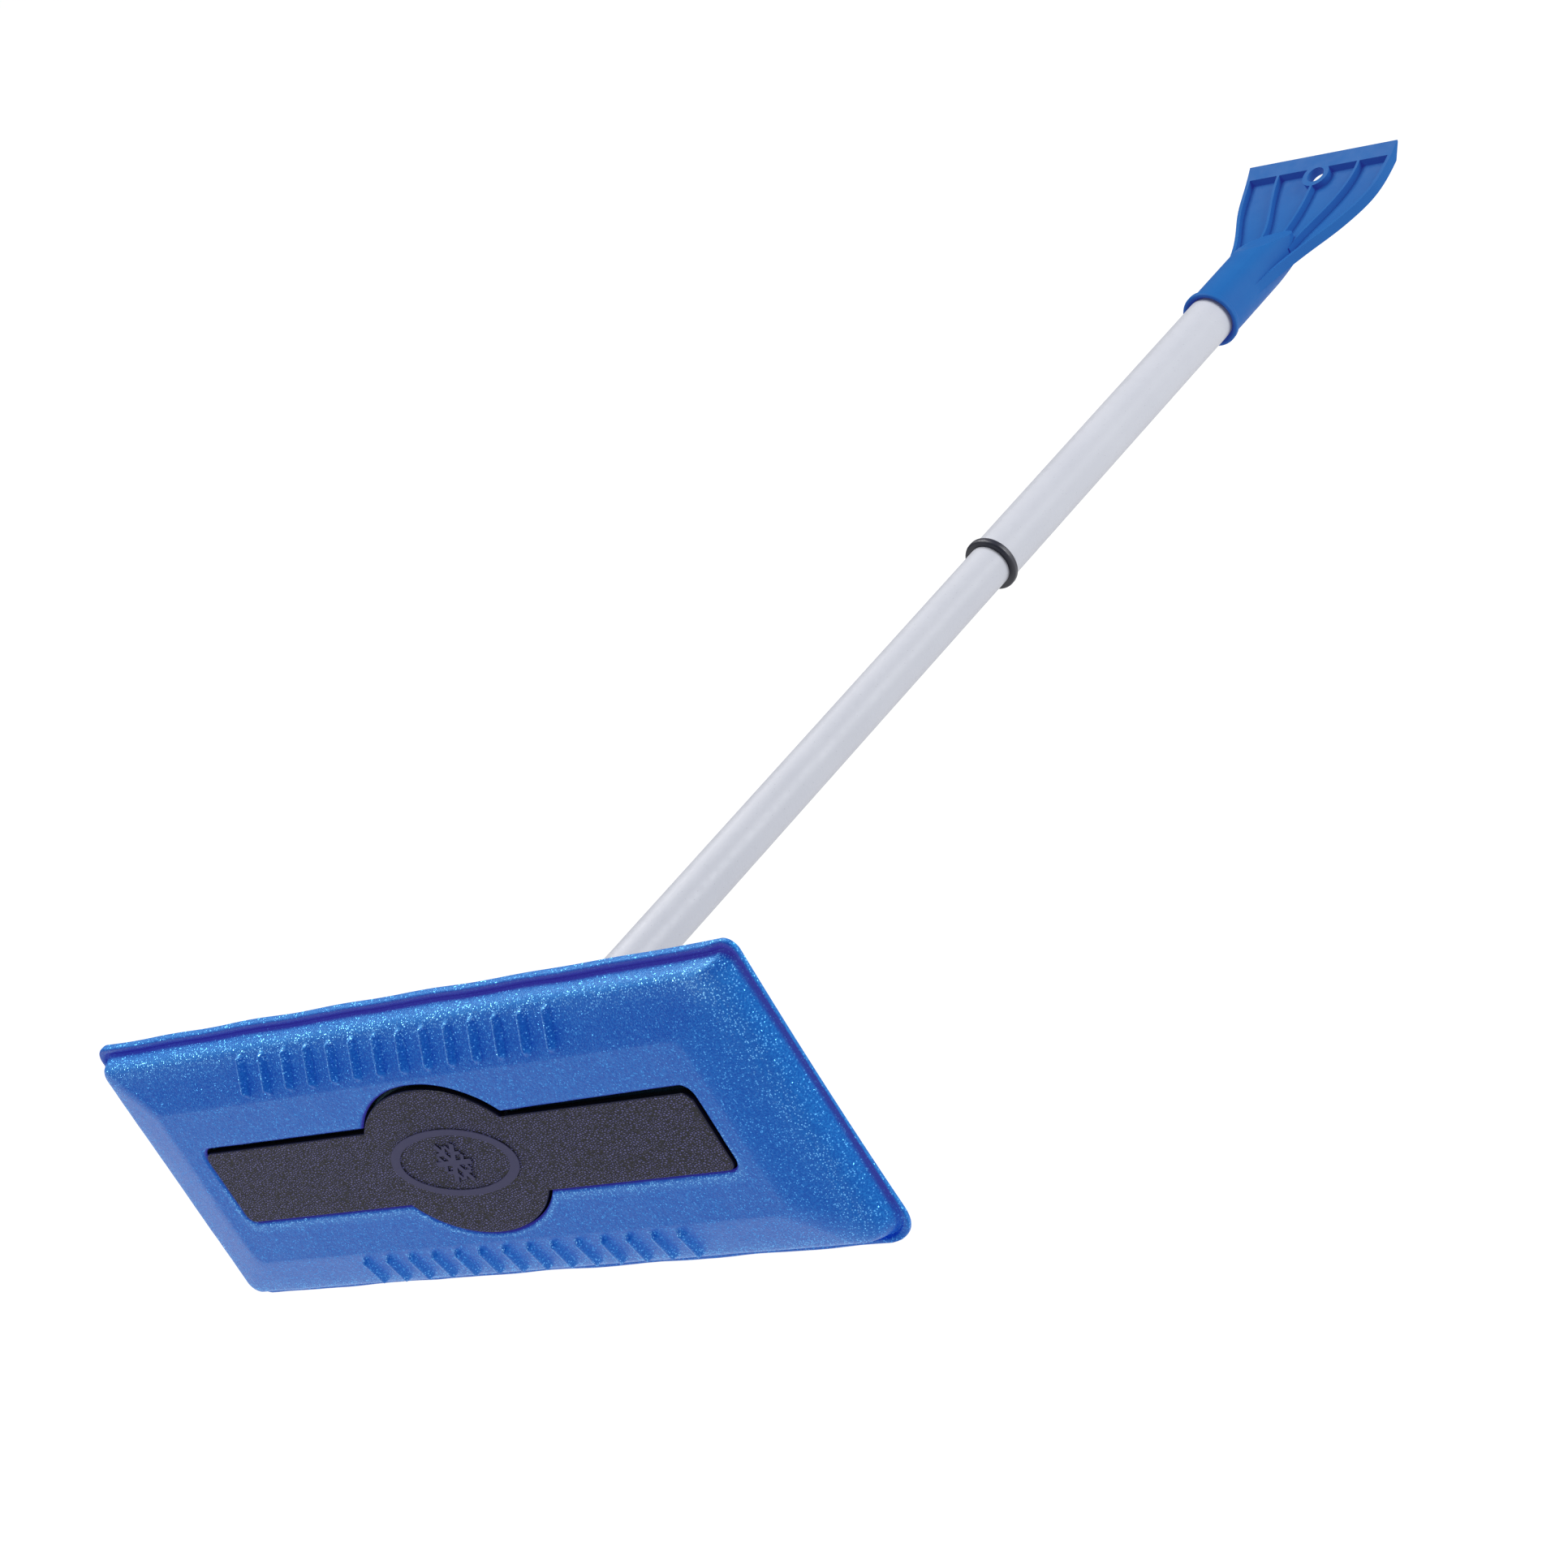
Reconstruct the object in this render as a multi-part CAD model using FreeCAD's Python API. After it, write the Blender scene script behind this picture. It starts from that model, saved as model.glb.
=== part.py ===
"""Telescoping foam-head snow rake with an ice scraper, one STEP file per physical piece.

Frame, in millimetres: the origin is the centre of the front plate's face, on the pole's axis.
+X runs along the head's width, +Y along the pole from the head to the scraper, +Z up across the head.
"""
import math
import os

import FreeCAD, Part
from FreeCAD import Vector

os.makedirs("parts", exist_ok=True)

# ---- driving dimensions -------------------------------------------------------------------------
HEAD_WIDTH = 457.2            # 18 inch head
HEAD_HEIGHT = 159.3
FLANGE_CORNER = 8.0
FLANGE_BACK_Y = 23.0
FLANGE_FRONT_Y = 18.0
SHOULDER_INSET = 7.1
SHOULDER_CORNER = 7.0
WALL_DRAFT = 3.0              # how far the wall leans out from the shoulder to the flange
SHOULDER_Y = 9.5
PLATEAU_HALF_X = 188.0
PLATEAU_HALF_Z = 47.6
PLATEAU_CORNER = 5.0
PLATEAU_Y = 0.6

PLATE_HALF_X = 171.6
PLATE_HALF_Z = 21.4
PLATE_CORNER = 5.0
BULGE_HALF_X = 56.5
BULGE_HALF_Z = 41.6
PLATE_THICKNESS = 4.0
OVAL_HALF_X = 43.3
OVAL_HALF_Z = 19.2
OVAL_BAND_X = 6.4
OVAL_BAND_Z = 3.7
FLAKE_REACH = 12.2
FLAKE_ARM = 2.8
FLAKE_BARB = 1.9
RELIEF_HEIGHT = 0.5
RELIEF_ROUND = 0.3
PLATE_EDGE_ROUND = 0.8

BACK_PLATE_GROW = 3.0
BACK_PLATE_THICKNESS = 4.0
RIB_HEIGHT = 8.0
RIB_THICKNESS = 2.5
RIB_ROUND = 0.7
SOCKET_RADIUS = 16.0
SOCKET_LENGTH = 65.0
SOCKET_ROUND = 1.2

SCREW_PLACES = ((-155, 0), (-95, 0), (0, -30), (0, 30), (95, 0), (155, 0))
SCREW_RADIUS = 1.75
SCREW_LENGTH = 16.0
SCREW_HEAD_RADIUS = 3.8
SCREW_HEAD_HEIGHT = 2.2
BOSS_RADIUS = 4.0

INNER_RADIUS = 11.9
OUTER_RADIUS = 13.5
TUBE_WALL = 0.8
RUNNING_GAP = 0.05            # radial clearance of a sliding fit

INNER_START_Y = 30.0
COLLAR_FACE_Y = 505.5         # mouth of the outer tube
TUBE_OVERLAP = 85.5
SCRAPER_RIM_Y = 758.0
SCRAPER_GRIP = 52.0           # tube length inside the scraper's socket

COLLAR_RADIUS = 15.4
COLLAR_FLANGE = 4.2
COLLAR_SPIGOT = 20.0

BUTTON_Y = 62.0
BUTTON_RADIUS = 3.9
BUTTON_HOLE_RADIUS = 4.2

CAM_OFFSET = 1.0
CAM_RADIUS = 7.0
CAM_LENGTH = 18.0
CAM_PLAY = 0.4                # radial play of the lock ring on the journal
LOCK_RING_RADIUS = 12.4

BLADE_TWIST = 5.6             # turn of the whole outer pole about its axis, in degrees
SLEEVE_RADIUS = 15.8
RIM_RADIUS = 17.2
RIM_LENGTH = 4.5
BLADE_REACH = 163.4           # from the socket's rim to the scraping edge
BLADE_EDGE_Z = 18.6
BLADE_FLAT_END = 87.0         # where the blade starts to curve up
BLADE_ROOT_Z = 2.6
BLADE_THICKNESS = 6.0
POCKET_DEPTH = 4.0
BAND_START = 153.4            # solid band behind the scraping edge
WALL = 2.4
RIB_WIDTH = 1.8
HOLE_REACH = 149.6
HOLE_RADIUS = 5.6
HOLE_BOSS_RADIUS = 9.0
BLADE_HALF_WIDTHS = ((15.0, 28.0), (20.0, 54.0), (27.0, 77.0), (34.5, 96.0), (41.0, 111.0),
                     (47.5, 128.0), (51.3, 150.0), (52.9, 163.9))
SIDE_RIB = ((28.7, 156.0), (23.0, 125.0), (15.0, 97.0), (15.6, 74.0))
MIDDLE_RIB = ((0.0, 145.0), (0.0, 90.0))

X_AXIS = Vector(1, 0, 0)
Y_AXIS = Vector(0, 1, 0)
Z_AXIS = Vector(0, 0, 1)
ORIGIN = Vector(0, 0, 0)

INNER_BORE = INNER_RADIUS - TUBE_WALL
OUTER_BORE = OUTER_RADIUS - TUBE_WALL
INNER_END_Y = COLLAR_FACE_Y + TUBE_OVERLAP
OUTER_END_Y = SCRAPER_RIM_Y + SCRAPER_GRIP
BACK_FACE_Y = FLANGE_BACK_Y + BACK_PLATE_THICKNESS


# ---- building blocks ----------------------------------------------------------------------------
def box(x, y, z):
    """A box from three (low, high) pairs."""
    return Part.makeBox(x[1] - x[0], y[1] - y[0], z[1] - z[0], Vector(x[0], y[0], z[0]))


def rod(radius, y, centre_x=0.0, centre_z=0.0):
    """A round bar along the pole between y[0] and y[1]."""
    return Part.makeCylinder(radius, y[1] - y[0], Vector(centre_x, y[0], centre_z), Y_AXIS)


def ring(outer, inner, y, centre_x=0.0):
    """A tube along the pole."""
    return rod(outer, y, centre_x).cut(rod(inner, y, centre_x))


def upright(radius, y, z, centre_x=0.0):
    """A round bar along Z at pole position y, between z[0] and z[1]."""
    return Part.makeCylinder(radius, z[1] - z[0], Vector(centre_x, y, z[0]), Z_AXIS)


def edges_along(shape, axis):
    """The straight edges that run along an axis."""
    picked = []
    for edge in shape.Edges:
        ends = edge.Vertexes
        if len(ends) == 2 and isinstance(edge.Curve, Part.Line):
            run = ends[1].Point.sub(ends[0].Point).normalize()
            if abs(abs(run.dot(axis)) - 1) < 1e-6:
                picked.append(edge)
    return picked


def edges_at(shape, y):
    """The edges that lie in the plane at pole position y."""
    return [edge for edge in shape.Edges
            if edge.BoundBox.YLength < 1e-6 and abs(edge.BoundBox.YMin - y) < 1e-6]


def rounded_block(half_x, half_z, corner, y):
    """A block with its four corners along Y rounded."""
    block = box((-half_x, half_x), y, (-half_z, half_z))
    return block.makeFillet(corner, edges_along(block, Y_AXIS))


def rounded_outline(half_x, half_z, corner, y):
    """A closed rectangular wire with round corners, at pole position y."""
    tangent_x = half_x - corner
    tangent_z = half_z - corner
    diagonal = corner * math.sqrt(0.5)
    edges = []
    for sign_x, sign_z in ((1, 1), (-1, 1), (-1, -1), (1, -1)):
        on_side = Vector(sign_x * half_x, y, sign_z * tangent_z)
        on_top = Vector(sign_x * tangent_x, y, sign_z * half_z)
        middle = Vector(sign_x * (tangent_x + diagonal), y, sign_z * (tangent_z + diagonal))
        start, end = (on_side, on_top) if sign_x * sign_z > 0 else (on_top, on_side)
        edges.append(Part.Arc(start, middle, end).toShape())
        following = Vector(-end.x, y, end.z) if abs(end.z) == half_z else Vector(end.x, y, -end.z)
        edges.append(Part.LineSegment(end, following).toShape())
    return Part.Wire(edges)


def ellipse_block(half_x, half_z, y):
    """An elliptical disc whose axis is the pole's."""
    centre = Vector(0, y[0], 0)
    curve = Part.Ellipse(Vector(half_x, y[0], 0), Vector(0, y[0], half_z), centre)
    face = Part.Face(Part.Wire([curve.toShape()]))
    return face.extrude(Vector(0, y[1] - y[0], 0))


def plate_outline(grow, y):
    """The plates' common outline: a long bar with an elliptical bulge in the middle."""
    bar = rounded_block(PLATE_HALF_X + grow, PLATE_HALF_Z + grow, PLATE_CORNER + grow, y)
    return bar.fuse(ellipse_block(BULGE_HALF_X + grow, BULGE_HALF_Z + grow, y)).removeSplitter()


def export(name, shape):
    """Writes one piece."""
    if not shape.isValid():
        raise ValueError(name + " is not a valid shape")
    shape.exportStep("parts/" + name + ".step")
    print(name, len(shape.Solids), "solid(s),", round(shape.Volume / 1000, 2), "cm3")


# ---- head ---------------------------------------------------------------------------------------
def foam_head():
    """Moulded foam pad: edge flange, wall, sloping sides, plateau, plate recess and boss holes."""
    flange_y = (FLANGE_FRONT_Y, FLANGE_BACK_Y)
    flange = rounded_block(HEAD_WIDTH / 2, HEAD_HEIGHT / 2, FLANGE_CORNER, flange_y)
    wall_x = HEAD_WIDTH / 2 - SHOULDER_INSET
    wall_z = HEAD_HEIGHT / 2 - SHOULDER_INSET
    foot = rounded_outline(wall_x + WALL_DRAFT, wall_z + WALL_DRAFT, SHOULDER_CORNER + WALL_DRAFT,
                           FLANGE_FRONT_Y)
    shoulder = rounded_outline(wall_x, wall_z, SHOULDER_CORNER, SHOULDER_Y)
    plateau = rounded_outline(PLATEAU_HALF_X, PLATEAU_HALF_Z, PLATEAU_CORNER, PLATEAU_Y)
    wall = Part.makeLoft([foot, shoulder], True, True)
    slope = Part.makeLoft([shoulder, plateau], True, True)
    foam = flange.fuse(wall).fuse(slope)
    foam = foam.cut(plate_outline(0, (PLATEAU_Y - 1, PLATE_THICKNESS)))
    for x, z in SCREW_PLACES:
        foam = foam.cut(rod(BOSS_RADIUS, (0, FLANGE_BACK_Y + 1), x, z))
    return foam.removeSplitter()


def snowflake():
    """Six raised arms that meet in the middle, each with a pair of short barbs."""
    raised = (-RELIEF_HEIGHT, 0)
    arm = box((0, FLAKE_REACH), raised, (-FLAKE_ARM / 2, FLAKE_ARM / 2))
    for side in (1, -1):
        barb = box((0, 5), raised, (-FLAKE_BARB / 2, FLAKE_BARB / 2))
        barb.rotate(ORIGIN, Y_AXIS, 60 * side)
        barb.translate(Vector(FLAKE_REACH / 2, 0, 0))
        arm = arm.fuse(barb)
    arms = []
    for turn in range(6):
        copy = arm.copy()
        copy.rotate(ORIGIN, Y_AXIS, 60 * turn)
        arms.append(copy)
    return arms[0].fuse(arms[1:]).removeSplitter()


def front_plate():
    """Clamping plate with screw bosses behind it and a raised oval in front."""
    plate = plate_outline(0, (0, PLATE_THICKNESS))
    plate = plate.makeFillet(PLATE_EDGE_ROUND, edges_at(plate, 0))
    for x, z in SCREW_PLACES:
        plate = plate.fuse(rod(BOSS_RADIUS, (PLATE_THICKNESS, FLANGE_BACK_Y), x, z))
    for x, z in SCREW_PLACES:
        plate = plate.cut(rod(SCREW_RADIUS, (BACK_FACE_Y - SCREW_LENGTH, FLANGE_BACK_Y), x, z))
    raised = (-RELIEF_HEIGHT, 0)
    oval = ellipse_block(OVAL_HALF_X, OVAL_HALF_Z, raised)
    oval = oval.cut(ellipse_block(OVAL_HALF_X - OVAL_BAND_X, OVAL_HALF_Z - OVAL_BAND_Z, raised))
    oval = oval.makeFillet(RELIEF_ROUND, edges_at(oval, -RELIEF_HEIGHT))
    return plate.fuse([oval, snowflake()]).removeSplitter()


def rib(x, y, z):
    """A stiffening rib whose free edges are rounded."""
    block = box(x, y, z)
    return block.makeFillet(RIB_ROUND, edges_at(block, y[1]))


def back_plate():
    """Ribbed plate behind the foam, with the pole socket."""
    plate = plate_outline(BACK_PLATE_GROW, (FLANGE_BACK_Y, BACK_FACE_Y))
    rib_y = (BACK_FACE_Y, BACK_FACE_Y + RIB_HEIGHT)
    lip_y = (BACK_FACE_Y, BACK_FACE_Y + RIB_HEIGHT / 2)
    lip = plate_outline(BACK_PLATE_GROW, lip_y).cut(plate_outline(BACK_PLATE_GROW - 2, lip_y))
    lip = lip.makeFillet(RIB_ROUND, edges_at(lip, lip_y[1]))
    ribs = [lip]
    half = RIB_THICKNESS / 2
    for z in (-14.0, 14.0):
        ribs.append(rib((-PLATE_HALF_X, PLATE_HALF_X), rib_y, (z - half, z + half)))
    for x in (-125.0, -65.0, 65.0, 125.0):
        ribs.append(rib((x - half, x + half), rib_y, (-PLATE_HALF_Z - 1, PLATE_HALF_Z + 1)))
    socket_y = (BACK_FACE_Y, BACK_FACE_Y + SOCKET_LENGTH)
    gusset_foot = Vector(SOCKET_RADIUS + 24, BACK_FACE_Y, -half)
    gusset_top = Vector(SOCKET_RADIUS - 1, BACK_FACE_Y + 40, -half)
    gusset_heel = Vector(SOCKET_RADIUS - 1, BACK_FACE_Y, -half)
    outline = Part.makePolygon([gusset_foot, gusset_top, gusset_heel, gusset_foot])
    for quarter in range(4):
        gusset = Part.Face(outline).extrude(Vector(0, 0, RIB_THICKNESS))
        if quarter % 2:
            gusset = gusset.common(box((0, SOCKET_RADIUS + 8), socket_y, (-half, half)))
        gusset.rotate(ORIGIN, Y_AXIS, 90 * quarter)
        ribs.append(gusset)
    socket = rod(SOCKET_RADIUS, socket_y)
    socket = socket.makeFillet(SOCKET_ROUND, edges_at(socket, socket_y[1]))
    plate = plate.fuse(ribs + [socket])
    plate = plate.cut(rod(INNER_RADIUS + RUNNING_GAP, (BACK_FACE_Y, socket_y[1] + 1)))
    mouth = Part.makeCone(INNER_RADIUS, INNER_RADIUS + 2, 2, Vector(0, socket_y[1] - 2, 0), Y_AXIS)
    plate = plate.cut(mouth)
    button_flat = box((-7, 7), (BUTTON_Y - 8, BUTTON_Y + 8), (SOCKET_RADIUS - 1.5, SOCKET_RADIUS + 1))
    plate = plate.cut(button_flat)
    plate = plate.cut(upright(BUTTON_HOLE_RADIUS, BUTTON_Y, (0, SOCKET_RADIUS + 1)))
    for x, z in SCREW_PLACES:
        plate = plate.cut(rod(SCREW_RADIUS + 0.35, (FLANGE_BACK_Y - 1, BACK_FACE_Y + 1), x, z))
    return plate.removeSplitter()


def cross_head_screw(x, z, seat_y, length, radius, head_radius, head_height):
    """Pan-head screw along the pole with its head on the far side of seat_y."""
    head = rod(head_radius, (seat_y, seat_y + head_height), x, z)
    head = head.makeFillet(head_height / 3, edges_at(head, seat_y + head_height))
    top = seat_y + head_height
    slot = (top - head_height / 2, top + 0.1)
    reach = head_radius * 0.55
    for half_x, half_z in ((reach, 0.4), (0.4, reach)):
        head = head.cut(box((x - half_x, x + half_x), slot, (z - half_z, z + half_z)))
    shank = rod(radius, (seat_y - length, seat_y), x, z)
    return head.fuse(shank)


def plate_screws():
    """The six screws through the back plate into the front plate's bosses."""
    screws = []
    for x, z in SCREW_PLACES:
        screws.append(cross_head_screw(x, z, BACK_FACE_Y, SCREW_LENGTH, SCREW_RADIUS,
                                       SCREW_HEAD_RADIUS, SCREW_HEAD_HEIGHT))
    return Part.makeCompound(screws)


# ---- inner pole ---------------------------------------------------------------------------------
PIN_Y = INNER_END_Y - 18.0
PIN_RADIUS = 1.25
PIN_DEPTH = 7.0


def inner_tube():
    """Thin tube with the snap-button hole at the head and pin holes at the lock."""
    tube = ring(INNER_RADIUS, INNER_BORE, (INNER_START_Y, INNER_END_Y))
    tube = tube.cut(upright(BUTTON_HOLE_RADIUS, BUTTON_Y, (0, INNER_RADIUS + 1)))
    return tube.cut(upright(PIN_RADIUS, PIN_Y, (-INNER_RADIUS - 1, INNER_RADIUS + 1)))


def tube_foot_plug():
    """Hollow plug with a flange, in the tube's head end."""
    plug = rod(INNER_RADIUS, (INNER_START_Y - 2, INNER_START_Y))
    plug = plug.fuse(ring(INNER_BORE, INNER_BORE - 2, (INNER_START_Y, INNER_START_Y + 9)))
    return plug.removeSplitter()


BUTTON_FLANGE_RADIUS = 5.2
BUTTON_FOOT_Z = 8.0
BUTTON_FLANGE_TOP_Z = 9.3
BUTTON_TOP_Z = 15.6


def snap_button():
    """Domed button with a flange that stays inside the tube."""
    pin = upright(BUTTON_RADIUS, BUTTON_Y, (BUTTON_FOOT_Z, BUTTON_TOP_Z))
    rim = [e for e in pin.Edges if e.BoundBox.ZMin > BUTTON_TOP_Z - 0.1]
    pin = pin.makeFillet(2.0, rim)
    return pin.fuse(upright(BUTTON_FLANGE_RADIUS, BUTTON_Y, (BUTTON_FOOT_Z, BUTTON_FLANGE_TOP_Z)))


def button_spring():
    """Flat steel strip bent in a V: the lower leaf lies in the tube, the upper leaf lifts the button."""
    half_width = 3.5
    gauge = 0.6
    bend_y = 84.0
    bend_radius = 2.7
    lower_z = -10.1
    bend_z = lower_z + bend_radius
    leaf_z = bend_z + bend_radius
    span_x = (-half_width, half_width)
    lower = box(span_x, (46.0, bend_y), (lower_z - gauge / 2, lower_z + gauge / 2))
    bend_at = Vector(-half_width, bend_y, bend_z)
    bend = Part.makeCylinder(bend_radius + gauge / 2, 2 * half_width, bend_at, X_AXIS)
    bend = bend.cut(Part.makeCylinder(bend_radius - gauge / 2, 2 * half_width, bend_at, X_AXIS))
    bend = bend.common(box(span_x, (bend_y, bend_y + 5), (-20, 20)))
    leaf_length = 28.0
    leaf_lift = 24.0
    upper = box(span_x, (bend_y - leaf_length, bend_y), (leaf_z - gauge / 2, leaf_z + gauge / 2))
    upper.rotate(Vector(0, bend_y, leaf_z - gauge / 2), X_AXIS, -leaf_lift)
    return lower.fuse([bend, upper]).removeSplitter()


def guide_sleeve():
    """Slide bush fixed on the inner tube, running in the outer tube."""
    return ring(OUTER_BORE - 0.08, INNER_RADIUS, (INNER_END_Y - 14, INNER_END_Y - 2))


CORE_FLANGE = 2.0
JOURNAL_START_Y = INNER_END_Y + CORE_FLANGE
JOURNAL_END_Y = JOURNAL_START_Y + CAM_LENGTH
LOCK_SCREW_RADIUS = 2.0
LOCK_SCREW_LENGTH = 14.0
LOCK_WASHER = 1.2


def lock_core():
    """Eccentric core: a spigot in the tube, a flange and the offset journal."""
    core = rod(INNER_BORE, (INNER_END_Y - 25, INNER_END_Y))
    core = core.fuse(rod(OUTER_BORE - 0.4, (INNER_END_Y, JOURNAL_START_Y)))
    core = core.fuse(rod(CAM_RADIUS, (JOURNAL_START_Y, JOURNAL_END_Y), CAM_OFFSET))
    drilled = (JOURNAL_END_Y + LOCK_WASHER - LOCK_SCREW_LENGTH, JOURNAL_END_Y + 1)
    core = core.cut(rod(LOCK_SCREW_RADIUS, drilled, CAM_OFFSET))
    for z in ((PIN_DEPTH, INNER_RADIUS), (-INNER_RADIUS, -PIN_DEPTH)):
        core = core.cut(upright(PIN_RADIUS, PIN_Y, z))
    return core.removeSplitter()


def core_pins():
    """Two pins through the tube's wall into the core, flush with the tube."""
    skin = rod(INNER_RADIUS, (PIN_Y - 3, PIN_Y + 3))
    pins = []
    for z in ((PIN_DEPTH, INNER_RADIUS + 1), (-INNER_RADIUS - 1, -PIN_DEPTH)):
        pins.append(upright(PIN_RADIUS, PIN_Y, z).common(skin))
    return Part.makeCompound(pins)


def lock_ring():
    """Split ring, round with the pole outside and bored off centre for the journal."""
    end_play = 0.4
    span = (JOURNAL_START_Y + end_play, JOURNAL_END_Y - end_play)
    body = rod(LOCK_RING_RADIUS, span).cut(rod(CAM_RADIUS + CAM_PLAY, span, CAM_OFFSET))
    return body.cut(box((CAM_OFFSET, LOCK_RING_RADIUS + 1), span, (-1, 1)))


def lock_washer():
    """Washer that keeps the lock ring on the journal."""
    span = (JOURNAL_END_Y, JOURNAL_END_Y + LOCK_WASHER)
    return ring(11.0, LOCK_SCREW_RADIUS + 0.1, span, CAM_OFFSET)


def lock_screw():
    """Screw in the end of the journal."""
    return cross_head_screw(CAM_OFFSET, 0, JOURNAL_END_Y + LOCK_WASHER, LOCK_SCREW_LENGTH,
                            LOCK_SCREW_RADIUS, 3.8, 2.6)


# ---- outer pole ---------------------------------------------------------------------------------
SCREW_REACH = 44.0            # scraper screw, from the socket's rim
FIX_SCREW_RADIUS = 1.6
FIX_SEAT_Z = -15.2
END_PLUG_LENGTH = 16.0


def outer_tube():
    """Thick tube, from the collar into the scraper's socket."""
    tube = ring(OUTER_RADIUS, OUTER_BORE, (COLLAR_FACE_Y, OUTER_END_Y))
    return tube.cut(upright(FIX_SCREW_RADIUS, SCRAPER_RIM_Y + SCREW_REACH, (-OUTER_RADIUS - 1, 0)))


WIPER_RADIUS = 13.3
WIPER_SPAN = (COLLAR_FACE_Y - 3.0, COLLAR_FACE_Y - 1.2)


def guide_collar():
    """Bush in the outer tube's mouth: rounded flange, spigot and a groove for the wiper."""
    flange = rod(COLLAR_RADIUS, (COLLAR_FACE_Y - COLLAR_FLANGE, COLLAR_FACE_Y))
    flange = flange.makeFillet(1.3, [e for e in flange.Edges if e.BoundBox.YLength < 0.01])
    collar = flange.fuse(rod(OUTER_BORE, (COLLAR_FACE_Y, COLLAR_FACE_Y + COLLAR_SPIGOT)))
    length = (COLLAR_FACE_Y - COLLAR_FLANGE - 1, COLLAR_FACE_Y + COLLAR_SPIGOT + 1)
    collar = collar.cut(rod(INNER_RADIUS + RUNNING_GAP, length))
    return collar.cut(rod(WIPER_RADIUS, WIPER_SPAN)).removeSplitter()


def wiper_ring():
    """Felt ring in the collar's groove."""
    return ring(WIPER_RADIUS, INNER_RADIUS + RUNNING_GAP, WIPER_SPAN)


def tube_end_plug():
    """Cup that closes the outer tube inside the scraper, with a hole for the screw."""
    start = OUTER_END_Y - END_PLUG_LENGTH
    plug = rod(OUTER_BORE, (start, OUTER_END_Y)).cut(rod(OUTER_BORE - 2.7, (start + 3, OUTER_END_Y)))
    return plug.cut(upright(FIX_SCREW_RADIUS, SCRAPER_RIM_Y + SCREW_REACH, (-OUTER_RADIUS, 0)))


def scraper_screw():
    """Screw from below through socket, tube and plug."""
    screw = cross_head_screw(0, 0, -FIX_SEAT_Z, 6.2, FIX_SCREW_RADIUS, 3.2, 1.8)
    screw.rotate(ORIGIN, X_AXIS, -90)
    screw.translate(Vector(0, SCRAPER_RIM_Y + SCREW_REACH, 0))
    return screw


# ---- scraper, built with its socket's rim at Y = 0 ----------------------------------------------
BLADE_RISE = BLADE_EDGE_Z - BLADE_ROOT_Z
BLADE_RUN = BLADE_REACH - BLADE_FLAT_END
CURVE_RADIUS = (BLADE_RUN ** 2 + BLADE_RISE ** 2) / (2 * BLADE_RISE)
CURVE_CENTRE_Z = BLADE_ROOT_Z + CURVE_RADIUS


def blade_point(reach, depth):
    """A point of the blade's long section, at a depth under its upper face."""
    radius = CURVE_RADIUS + depth
    past = max(reach - BLADE_FLAT_END, 0)
    return Vector(0, reach, CURVE_CENTRE_Z - math.sqrt(radius ** 2 - past ** 2))


def section_edges(start, end, depth):
    """The blade's long section from start to end: a flat run and an arc."""
    bend = blade_point(BLADE_FLAT_END, depth)
    middle = blade_point((BLADE_FLAT_END + end) / 2, depth)
    arc = Part.Arc(bend, middle, blade_point(end, depth)).toShape()
    return [Part.LineSegment(blade_point(start, depth), bend).toShape(), arc]


def across(edges, half_width):
    """Closes section edges into a face and extrudes it across the blade."""
    face = Part.Face(Part.Wire(edges))
    face.translate(Vector(-half_width, 0, 0))
    return face.extrude(Vector(2 * half_width, 0, 0))


def spline(points):
    """A smooth curve through points."""
    curve = Part.BSplineCurve()
    curve.interpolate(points)
    return curve.toShape()


def plan_block(right, left):
    """A block seen from above: two side curves, each a list of (x, reach), joined by straight ends."""
    low = -30.0
    sides = [[Vector(x, reach, low) for x, reach in side] for side in (right, left)]
    edges = [spline(sides[0]),
             Part.LineSegment(sides[0][-1], sides[1][-1]).toShape(),
             spline(sides[1]),
             Part.LineSegment(sides[1][0], sides[0][0]).toShape()]
    return Part.Face(Part.Wire(Part.__sortEdges__(edges))).extrude(Vector(0, 0, 80))


def blade_plan(inset):
    """The blade's outline from above, brought in by inset on both sides."""
    right = [(x - inset, reach) for x, reach in BLADE_HALF_WIDTHS]
    left = [(-x, reach) for x, reach in right]
    return plan_block(right, left)


def rib_plan(points, mirror):
    """One rib from above."""
    half = RIB_WIDTH / 2
    right = [(mirror * x + half, reach) for x, reach in points]
    left = [(mirror * x - half, reach) for x, reach in points]
    return plan_block(right, left)


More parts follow.
